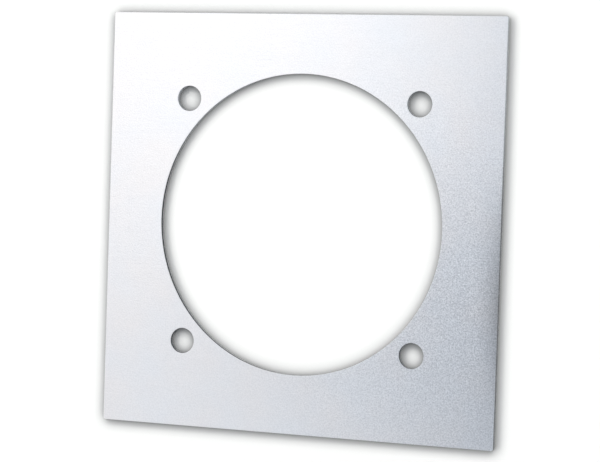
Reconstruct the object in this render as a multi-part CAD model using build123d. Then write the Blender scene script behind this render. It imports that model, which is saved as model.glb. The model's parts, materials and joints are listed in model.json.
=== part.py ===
from build123d import *
from math import sqrt
import os

# Square cover plate, pressed in one piece from flat steel sheet: a large round opening in the middle, and
# four bolt holes on a square pattern round it.
#
# Frame, in millimetres: the plate lies on its back face, which is the plane Z = 0, and its front face looks
# along +Z. X runs along the width and Y along the height. The origin is on the axis of the opening.

# Openings
opening_diameter = 109.3  # clears the round body that passes through the plate
bolt_hole_diameter = 9.3

# Metal left round them
side_rail = 21.55  # from the opening to the left and right edges
end_rail = 21.55  # from the opening to the top and bottom edges
bolt_web = 3.95  # from the opening to each bolt hole

# Sheet
sheet_thickness = 1.9
corner_radius = 0.8

# Cut walls, from the front: the sheet rolls over into the cut, then the wall is straight where the punch
# sheared it, then it leans back where the metal broke. The burr is taken off at the back.
rollover_radius = 0.12
break_share = 0.35  # of the sheet's thickness, up from the back face
break_setback = 0.1  # how far the wall has leaned back at the back face
burr_radius = 0.1

plate_width = opening_diameter + 2 * side_rail
plate_height = opening_diameter + 2 * end_rail
bolt_circle_diameter = opening_diameter + 2 * bolt_web + bolt_hole_diameter
bolt_spacing = bolt_circle_diameter / sqrt(2)
break_depth = break_share * sheet_thickness


def punched_outline():
    """The plate's flat outline, with the opening and the bolt holes cut out."""
    with BuildSketch(Plane.XY) as outline:
        RectangleRounded(plate_width, plate_height, corner_radius)
        Circle(opening_diameter / 2, mode=Mode.SUBTRACT)
        with GridLocations(bolt_spacing, bolt_spacing, 2, 2):
            Circle(bolt_hole_diameter / 2, mode=Mode.SUBTRACT)
    return outline.sketch


def cover_plate():
    """The whole plate, with the pressed form of its cut walls."""
    with BuildPart() as plate:
        extrude(punched_outline(), amount=sheet_thickness)
        front_face = plate.faces().sort_by(Axis.Z)[-1]
        fillet(front_face.edges(), rollover_radius)
        back_face = plate.faces().sort_by(Axis.Z)[0]
        chamfer(back_face.edges(), break_setback, break_depth, reference=back_face)
        back_face = plate.faces().sort_by(Axis.Z)[0]
        fillet(back_face.edges(), burr_radius)
    return plate.part


os.makedirs("parts", exist_ok=True)
export_step(cover_plate(), "parts/cover_plate.step")
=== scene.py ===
import json
from math import cos, pi, radians, sin, tau

import bpy
from mathutils import Euler, Matrix, Vector


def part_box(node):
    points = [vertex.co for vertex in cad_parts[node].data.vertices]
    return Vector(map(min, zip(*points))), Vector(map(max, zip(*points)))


# A square cover plate, punched from sheet steel and zinc plated. It lies face up on pale card, under soft
# light. Its mesh is the construction model's own, and this file gives it its finish, light and camera.

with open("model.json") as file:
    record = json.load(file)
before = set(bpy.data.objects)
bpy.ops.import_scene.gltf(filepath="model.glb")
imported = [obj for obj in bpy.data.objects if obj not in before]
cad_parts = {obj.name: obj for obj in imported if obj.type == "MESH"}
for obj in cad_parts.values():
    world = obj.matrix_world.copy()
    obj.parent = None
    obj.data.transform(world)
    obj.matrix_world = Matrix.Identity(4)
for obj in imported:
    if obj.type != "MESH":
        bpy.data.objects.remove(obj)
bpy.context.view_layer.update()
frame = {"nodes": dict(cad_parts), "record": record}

MM = 0.001
plate = frame["nodes"]["cover_plate"]
plate_low, plate_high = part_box("cover_plate")
plate_width = plate_high.x - plate_low.x
plate_middle = (plate_low + plate_high) / 2

# The straight land that the punch sheared in the opening's wall, between the rollover and the broken metal.
opening = next(m for m in frame["record"]["mounts"] if m["name"] == "center_opening")
land_middle = opening["pos_m"][2]
land_height = opening["dims"]["length_mm"] * MM
land_low = land_middle - land_height / 2
land_high = land_middle + land_height / 2
opening_radius = opening["dims"]["r_mm"] * MM


# ---- Nodes ----

def to_linear(hex_colour):
    """The linear colour of an sRGB hex value, as a shader socket takes it."""
    channels = [int(hex_colour[i:i + 2], 16) / 255 for i in (1, 3, 5)]
    linear = [c / 12.92 if c <= 0.04045 else ((c + 0.055) / 1.055) ** 2.4 for c in channels]
    return (*linear, 1.0)


def add_node(tree, kind, inputs=None, **settings):
    """Adds a node with its settings. inputs gives its sockets, by name or number, a value or another node's
    output."""
    node = tree.nodes.new(kind)
    for name, value in settings.items():
        setattr(node, name, value)
    for socket, value in (inputs or {}).items():
        if isinstance(value, bpy.types.NodeSocket):
            tree.links.new(value, node.inputs[socket])
        else:
            node.inputs[socket].default_value = value
    return node


def new_tree(owner):
    """The owner's node tree, emptied."""
    owner.use_nodes = True
    owner.node_tree.nodes.clear()
    return owner.node_tree


# ---- Camera ----

def aim_camera():
    """A long lens that looks down on the plate from a little to the right."""
    lens_mm = 137.5
    distance = 5.4413 * plate_width
    turn, rise, roll = radians(21.61), radians(2.24), radians(-1.87)
    aim = Vector((0.0047 * plate_width, -0.0142 * plate_width, plate_high.z))

    back = Vector((sin(turn) * cos(rise), sin(rise), cos(turn) * cos(rise)))
    right = Vector((0, 1, 0)).cross(back).normalized()
    level = Matrix((right, back.cross(right), back)).transposed()
    camera = bpy.data.objects.new("camera", bpy.data.cameras.new("camera"))
    camera.data.lens = lens_mm
    camera.matrix_world = Matrix.Translation(aim + distance * back) @ (
        level @ Matrix.Rotation(-roll, 3, "Z")).to_4x4()
    bpy.context.scene.collection.objects.link(camera)
    bpy.context.scene.camera = camera


# ---- Zinc plated steel ----

def clouded_and_reflection_tinted_colour(tree, place):
    """The plating's colour. Clouds in its clear passivation are some bluer and some greyer. Towards the
    right front corner it is painted bluer still, a painted reflection of the dim bluish ceiling that it
    mirrors there."""
    cloud_size = 22 * MM
    corner_direction = (1.0, -0.5, 0.0)
    half_span = 0.75 * plate_width
    clouds = add_node(tree, "ShaderNodeTexNoise", {
        "Vector": place, "Scale": 1 / cloud_size, "Detail": 3.0, "Roughness": 0.5}).outputs["Fac"]
    # Painted reflection tint: bluer towards the right front corner.
    painted_tint_to_corner = add_node(tree, "ShaderNodeVectorMath", {0: place, 1: corner_direction},
                         operation="DOT_PRODUCT").outputs["Value"]
    painted_tint_to_corner = add_node(tree, "ShaderNodeMapRange", {
        "Value": painted_tint_to_corner, "From Min": -half_span, "From Max": half_span,
        "To Min": -0.95, "To Max": -0.05}).outputs["Result"]
    clouds_and_painted_tint = add_node(tree, "ShaderNodeMath", {0: clouds, 1: 2.0, 2: painted_tint_to_corner},
                        operation="MULTIPLY_ADD").outputs["Value"]
    ramp = add_node(tree, "ShaderNodeValToRGB", {"Fac": clouds_and_painted_tint})
    ramp.color_ramp.elements[0].color = to_linear("#E0DBD7")
    ramp.color_ramp.elements[1].color = to_linear("#DCDBDA")
    return ramp.outputs["Color"]


def painted_dark_reflection(tree, parts, spot):
    """A painted dark reflection: the plating is painted darker in a band along the right edge, beside the
    spot.
    """
    band_width = 11 * MM
    band_reach = 0.36 * plate_width
    most_darkened = 0.43
    across = add_node(tree, "ShaderNodeMapRange", {
        "Value": parts["X"], "From Min": spot.x - band_width, "From Max": spot.x}).outputs["Result"]
    across = add_node(tree, "ShaderNodeMath", {0: across, 1: 2.0}, operation="POWER").outputs["Value"]
    along = add_node(tree, "ShaderNodeMath", {0: parts["Y"], 1: spot.y},
                     operation="SUBTRACT").outputs["Value"]
    along = add_node(tree, "ShaderNodeMath", {0: along}, operation="ABSOLUTE").outputs["Value"]
    along = add_node(tree, "ShaderNodeMapRange", {
        "Value": along, "From Min": 0.0, "From Max": band_reach, "To Min": -most_darkened, "To Max": 0.0},
        interpolation_type="SMOOTHSTEP").outputs["Result"]
    return add_node(tree, "ShaderNodeMath", {0: across, 1: along, 2: 1.0},
                    operation="MULTIPLY_ADD").outputs["Value"]


def plated_face(tree, place, parts):
    """The flat faces' colour, roughness and relief: fine zinc crystals over the sheet's rolling grain."""
    # Crystals of zinc. The real ones are under 0.1 mm across and are drawn as coarse as they need to show.
    crystal_size = 0.5 * MM
    crystals = add_node(tree, "ShaderNodeTexNoise", {
        "Vector": place, "Scale": 1 / crystal_size, "Detail": 2.0, "Roughness": 0.6}).outputs["Fac"]

    # Rolling grain: long faint lines along X.
    along_grain, across_grain = 14 * MM, 0.7 * MM
    grain_place = add_node(tree, "ShaderNodeMapping", {
        "Vector": place, "Scale": (1 / along_grain, 1 / across_grain, 1 / across_grain)}).outputs["Vector"]
    rolling = add_node(tree, "ShaderNodeTexNoise", {
        "Vector": grain_place, "Scale": 1.0, "Detail": 2.0, "Roughness": 0.5}).outputs["Fac"]

    # The crystal grain is painted with glints, strongest round a spot at the right edge, where light catches
    # the crystals.
    spot = Vector((plate_width / 2, -0.15 * plate_width, plate_high.z))
    glint_reach = 0.75 * plate_width
    strongest_glint, faintest_glint = 1.4, 0.3
    from_spot = add_node(tree, "ShaderNodeVectorMath", {0: place, 1: spot},
                         operation="DISTANCE").outputs["Value"]
    painted_glint_strength = add_node(tree, "ShaderNodeMapRange", {
        "Value": from_spot, "From Min": 0.0, "From Max": glint_reach, "To Min": strongest_glint, "To Max": faintest_glint},
        interpolation_type="SMOOTHSTEP").outputs["Result"]

    grain_and_glint = add_node(tree, "ShaderNodeMath", {0: crystals, 1: -0.5}, operation="ADD").outputs["Value"]
    grain_and_glint = add_node(tree, "ShaderNodeMath", {0: grain_and_glint, 1: painted_glint_strength, 2: 1.0},
                     operation="MULTIPLY_ADD").outputs["Value"]
    streak_depth = 0.015
    streaks = add_node(tree, "ShaderNodeMapRange", {
        "Value": rolling, "To Min": 1 - streak_depth, "To Max": 1 + streak_depth}).outputs["Result"]
    tone = add_node(tree, "ShaderNodeMath", {0: grain_and_glint, 1: streaks}, operation="MULTIPLY").outputs["Value"]
    # The plating is darkened by the painted dark reflection along the right edge.
    tone = add_node(tree, "ShaderNodeMath", {0: tone, 1: painted_dark_reflection(tree, parts, spot)},
                    operation="MULTIPLY").outputs["Value"]

    colour = add_node(tree, "ShaderNodeVectorMath", {0: clouded_and_reflection_tinted_colour(tree, place), "Scale": tone},
                      operation="SCALE").outputs["Vector"]
    smoothest, roughest = 0.29, 0.37
    rough = add_node(tree, "ShaderNodeMapRange", {
        "Value": crystals, "From Min": 0.3, "From Max": 0.7,
        "To Min": smoothest, "To Max": roughest}).outputs["Result"]
    rolling_share = 0.25
    relief = add_node(tree, "ShaderNodeMath", {0: rolling, 1: rolling_share, 2: crystals},
                      operation="MULTIPLY_ADD").outputs["Value"]
    return colour, rough, relief


def painted_land_shading(tree, place, parts):
    """Painted light and shade on the sheared land: it is painted brighter towards the plate's top edge, and
    painted darkest at the opening's left side."""
    dark_below, bright_above = 0.08 * plate_width, 0.3 * plate_width
    dark_tone, bright_tone = 0.5, 1.55
    darkest = Vector((-opening_radius, -0.06 * plate_width, 0))
    darkest_within, plain_beyond = 0.12 * plate_width, 0.3 * plate_width
    darkest_share = 0.5
    tone = add_node(tree, "ShaderNodeMapRange", {
        "Value": parts["Y"], "From Min": dark_below, "From Max": bright_above,
        "To Min": dark_tone, "To Max": bright_tone}).outputs["Result"]
    from_darkest = add_node(tree, "ShaderNodeVectorMath", {0: place, 1: darkest},
                            operation="DISTANCE").outputs["Value"]
    painted_left_shade = add_node(tree, "ShaderNodeMapRange", {
        "Value": from_darkest, "From Min": darkest_within, "From Max": plain_beyond,
        "To Min": darkest_share, "To Max": 1.0}).outputs["Result"]
    return add_node(tree, "ShaderNodeMath", {0: tone, 1: painted_left_shade}, operation="MULTIPLY").outputs["Value"]


def torn_share(tree, place, height):
    """Where the wall is torn metal. It tore along a ragged line, so the land's lower edge wanders by about a
    tenth of a millimetre."""
    ragged_size = 1.2 * MM
    wander_span = 0.5 * MM
    edge_blend = 0.04 * MM
    ragged = add_node(tree, "ShaderNodeTexNoise", {
        "Vector": place, "Scale": 1 / ragged_size, "Detail": 3.0, "Roughness": 0.6}).outputs["Fac"]
    wander = add_node(tree, "ShaderNodeMath", {0: ragged, 1: wander_span, 2: -wander_span / 2},
                      operation="MULTIPLY_ADD").outputs["Value"]
    ragged_height = add_node(tree, "ShaderNodeMath", {0: height, 1: wander},
                             operation="ADD").outputs["Value"]
    return add_node(tree, "ShaderNodeMapRange", {
        "Value": ragged_height, "From Min": land_low + edge_blend, "From Max": land_low - edge_blend,
        "To Min": 0.0, "To Max": 1.0}, interpolation_type="SMOOTHSTEP").outputs["Result"]


def cut_wall(tree, place, parts):
    """The cut walls' colour, roughness and relief: a darker sheared land, with painted light and shade, over
    paler torn metal.
    """
    torn = torn_share(tree, place, parts["Z"])

    # The punch's drag lines run up the wall, whichever way the wall faces.
    drag_width, drag_length = 0.22 * MM, 6 * MM
    drag_place = add_node(tree, "ShaderNodeMapping", {
        "Vector": place, "Scale": (1 / drag_width, 1 / drag_width, 1 / drag_length)}).outputs["Vector"]
    drag_lines = add_node(tree, "ShaderNodeTexNoise", {
        "Vector": drag_place, "Scale": 1.0, "Detail": 2.0, "Roughness": 0.6}).outputs["Fac"]
    torn_grain = 0.3 * MM
    torn_lumps = add_node(tree, "ShaderNodeTexNoise", {
        "Vector": place, "Scale": 1 / torn_grain, "Detail": 3.0, "Roughness": 0.7}).outputs["Fac"]

    colour = add_node(tree, "ShaderNodeMix", {
        "Factor": torn, 6: to_linear("#CBCED1"), 7: to_linear("#EEEFF0")}, data_type="RGBA").outputs[2]
    torn_tone = 0.85
    # The land takes painted light and shade; the torn metal has an even tone.
    tone = add_node(tree, "ShaderNodeMix", {
        "Factor": torn, 2: painted_land_shading(tree, place, parts), 3: torn_tone}).outputs[0]
    colour = add_node(tree, "ShaderNodeVectorMath", {0: colour, "Scale": tone},
                      operation="SCALE").outputs["Vector"]
    land_rough, torn_rough = 0.25, 0.65
    rough = add_node(tree, "ShaderNodeMix", {"Factor": torn, 2: land_rough, 3: torn_rough}).outputs[0]
    relief = add_node(tree, "ShaderNodeMix", {"Factor": torn, 2: drag_lines, 3: torn_lumps}).outputs[0]
    return colour, rough, relief


def zinc_plated_steel():
    """Clear zinc electroplate on cold rolled steel: a satin, faintly blue metal that sparkles finely where
    the light across it changes, with painted glints towards the right edge and the sheet's rolling grain
    just showing along X. Its cut walls have a mostly darker line, where the punch sheared them, with painted
    light and shade along it, over paler torn metal."""
    material = bpy.data.materials.new("zinc_plated_steel")
    tree = new_tree(material)
    place = add_node(tree, "ShaderNodeTexCoord").outputs["Object"]
    parts = add_node(tree, "ShaderNodeSeparateXYZ", {"Vector": place}).outputs
    face_colour, face_rough, face_relief = plated_face(tree, place, parts)
    wall_colour, wall_rough, wall_relief = cut_wall(tree, place, parts)

    rollover_blend = 0.08 * MM
    on_wall = add_node(tree, "ShaderNodeMapRange", {
        "Value": parts["Z"], "From Min": land_high + rollover_blend, "From Max": land_high,
        "To Min": 0.0, "To Max": 1.0}, interpolation_type="SMOOTHSTEP").outputs["Result"]
    colour = add_node(tree, "ShaderNodeMix", {
        "Factor": on_wall, 6: face_colour, 7: wall_colour}, data_type="RGBA").outputs[2]
    rough = add_node(tree, "ShaderNodeMix", {"Factor": on_wall, 2: face_rough, 3: wall_rough}).outputs[0]
    relief = add_node(tree, "ShaderNodeMix", {"Factor": on_wall, 2: face_relief, 3: wall_relief}).outputs[0]

    relief_height = 0.06 * MM
    bumps = add_node(tree, "ShaderNodeBump", {
        "Height": relief, "Strength": 1.0, "Distance": relief_height}).outputs["Normal"]
    metal = add_node(tree, "ShaderNodeBsdfPrincipled", {
        "Base Color": colour, "Metallic": 1.0, "Roughness": rough, "Normal": bumps})
    add_node(tree, "ShaderNodeOutputMaterial", {"Surface": metal.outputs["BSDF"]})
    return material


for material_slot in plate.material_slots:
    material_slot.material = zinc_plated_steel()


# ---- Card and light ----

def white_card():
    """Matt card under the plate, a mid, slightly warm grey that the lamps light to white. Close round the
    plate its shadow is deepened. Further out it glows, so that it stays white for the eye and in what the
    metal mirrors."""
    shadow_reach = 4.8 * MM
    glow_from, glow_full = 0.1, 0.5
    most_glow = 0.6

    material = bpy.data.materials.new("white_card")
    tree = new_tree(material)
    shadowed = add_node(tree, "ShaderNodeAmbientOcclusion", {
        "Color": to_linear("#ABAAA7"), "Distance": shadow_reach}).outputs["Color"]
    card = add_node(tree, "ShaderNodeBsdfDiffuse", {"Color": shadowed})

    rays = add_node(tree, "ShaderNodeLightPath").outputs
    seen = add_node(tree, "ShaderNodeMath", {0: rays["Is Camera Ray"], 1: rays["Is Glossy Ray"]},
                    operation="MAXIMUM").outputs["Value"]
    seen = add_node(tree, "ShaderNodeMath", {0: seen, 1: rays["Is Transmission Ray"]},
                    operation="MAXIMUM").outputs["Value"]
    place = add_node(tree, "ShaderNodeTexCoord").outputs["Object"]
    away = add_node(tree, "ShaderNodeVectorMath", {0: place}, operation="LENGTH").outputs["Value"]
    lift = add_node(tree, "ShaderNodeMapRange", {
        "Value": away, "From Min": glow_from, "From Max": glow_full, "To Min": 0.0, "To Max": most_glow},
        interpolation_type="SMOOTHSTEP").outputs["Result"]
    strength = add_node(tree, "ShaderNodeMath", {0: seen, 1: lift}, operation="MULTIPLY").outputs["Value"]
    glow = add_node(tree, "ShaderNodeEmission", {"Color": to_linear("#FFFFFF"), "Strength": strength})
    both = add_node(tree, "ShaderNodeAddShader", {0: card.outputs[0], 1: glow.outputs[0]})
    add_node(tree, "ShaderNodeOutputMaterial", {"Surface": both.outputs[0]})
    return material


def lay_bench():
    """A wide flat bench, covered with the card, a hair below the plate's back face."""
    half, drop = 4.0, 0.02 * MM
    corners = [(-half, -half), (half, -half), (half, half), (-half, half)]
    mesh = bpy.data.meshes.new("bench")
    mesh.from_pydata([(x, y, plate_low.z - drop) for x, y in corners], [], [(0, 1, 2, 3)])
    mesh.materials.append(white_card())
    bench = bpy.data.objects.new("bench", mesh)
    bpy.context.scene.collection.objects.link(bench)


def hang_soft_box(name, centre, size, turn, radiance, on_metal):
    """A soft box with the same radiance all over. turn gives its rotation. It lights the metal, which
    mirrors it, or else the matt card."""
    lamp = bpy.data.lights.new(name, "AREA")
    lamp.shape = "RECTANGLE"
    lamp.size, lamp.size_y = size
    # An area lamp's radiance is its power over pi times its area.
    lamp.energy = pi * size[0] * size[1] * radiance
    box = bpy.data.objects.new(name, lamp)
    box.matrix_world = Matrix.Translation(centre) @ turn.to_matrix().to_4x4()
    box.visible_camera = False
    box.visible_glossy = on_metal
    box.visible_diffuse = not on_metal
    bpy.context.scene.collection.objects.link(box)


def light_metal():
    """Two large soft boxes hang level over the plate's left side, so that its face falls from white to blue
    grey."""
    height = 0.45
    hang_soft_box("main_soft_box", (-0.273, 0.197, height), (0.491, 0.426),
                  Euler((0, 0, radians(-74.6))), 1.37, on_metal=True)
    hang_soft_box("low_soft_box", (-0.300, -0.247, height), (0.468, 0.339),
                  Euler((0, 0, radians(-6.6))), 0.9, on_metal=True)


def light_card():
    """A ring of low soft boxes lights the card. They are strongest at the far left and nearly dark at the
    front, so the plate's shadow is deepest at its right and front sides."""
    count, radius, rise = 8, 2.0, radians(30)
    size, mean_radiance = (1.1, 0.9), 7.4
    # One wave round the ring favours the far side, and two smaller ones favour the left and right sides.
    far_heading, far_wave, side_wave = radians(104), 0.64, 0.36
    for step in range(count):
        heading = tau * step / count
        away = Vector((cos(heading) * cos(rise), sin(heading) * cos(rise), sin(rise)))
        strength = 1 + far_wave * cos(heading - far_heading) + side_wave * cos(2 * heading)
        hang_soft_box(f"ring_soft_box_{step}", plate_middle + radius * away, size,
                      away.to_track_quat("Z", "Y"), mean_radiance * strength, on_metal=False)


def pale_room():
    """The room that the metal mirrors: white near the horizon, and a dimmer, bluish ceiling that is brighter
    towards the plate's top edge."""
    white_below, ceiling_above = radians(15), radians(35)
    overhead, slope = 0.435, (0.063, 0.217, 0.0)

    world = bpy.data.worlds.new("pale_room")
    bpy.context.scene.world = world
    tree = new_tree(world)
    direction = add_node(tree, "ShaderNodeTexCoord").outputs["Generated"]
    rise = add_node(tree, "ShaderNodeSeparateXYZ", {"Vector": direction}).outputs["Z"]
    ceiling = add_node(tree, "ShaderNodeVectorMath", {0: direction, 1: slope},
                       operation="DOT_PRODUCT").outputs["Value"]
    ceiling = add_node(tree, "ShaderNodeMath", {0: ceiling, 1: overhead}, operation="ADD").outputs["Value"]
    horizon = add_node(tree, "ShaderNodeMapRange", {
        "Value": rise, "From Min": sin(ceiling_above), "From Max": sin(white_below),
        "To Min": 0.0, "To Max": 1.0}, interpolation_type="SMOOTHSTEP").outputs["Result"]
    strength = add_node(tree, "ShaderNodeMix", {"Factor": horizon, 2: ceiling, 3: 1.0}).outputs[0]
    colour = add_node(tree, "ShaderNodeMix", {
        "Factor": horizon, 6: to_linear("#D1E4FF"), 7: to_linear("#FFFFFF")}, data_type="RGBA").outputs[2]
    sky = add_node(tree, "ShaderNodeBackground", {"Color": colour, "Strength": strength})
    add_node(tree, "ShaderNodeOutputWorld", {"Surface": sky.outputs[0]})


aim_camera()
lay_bench()
light_metal()
light_card()
pale_room()
bpy.context.scene.view_settings.view_transform = "Standard"
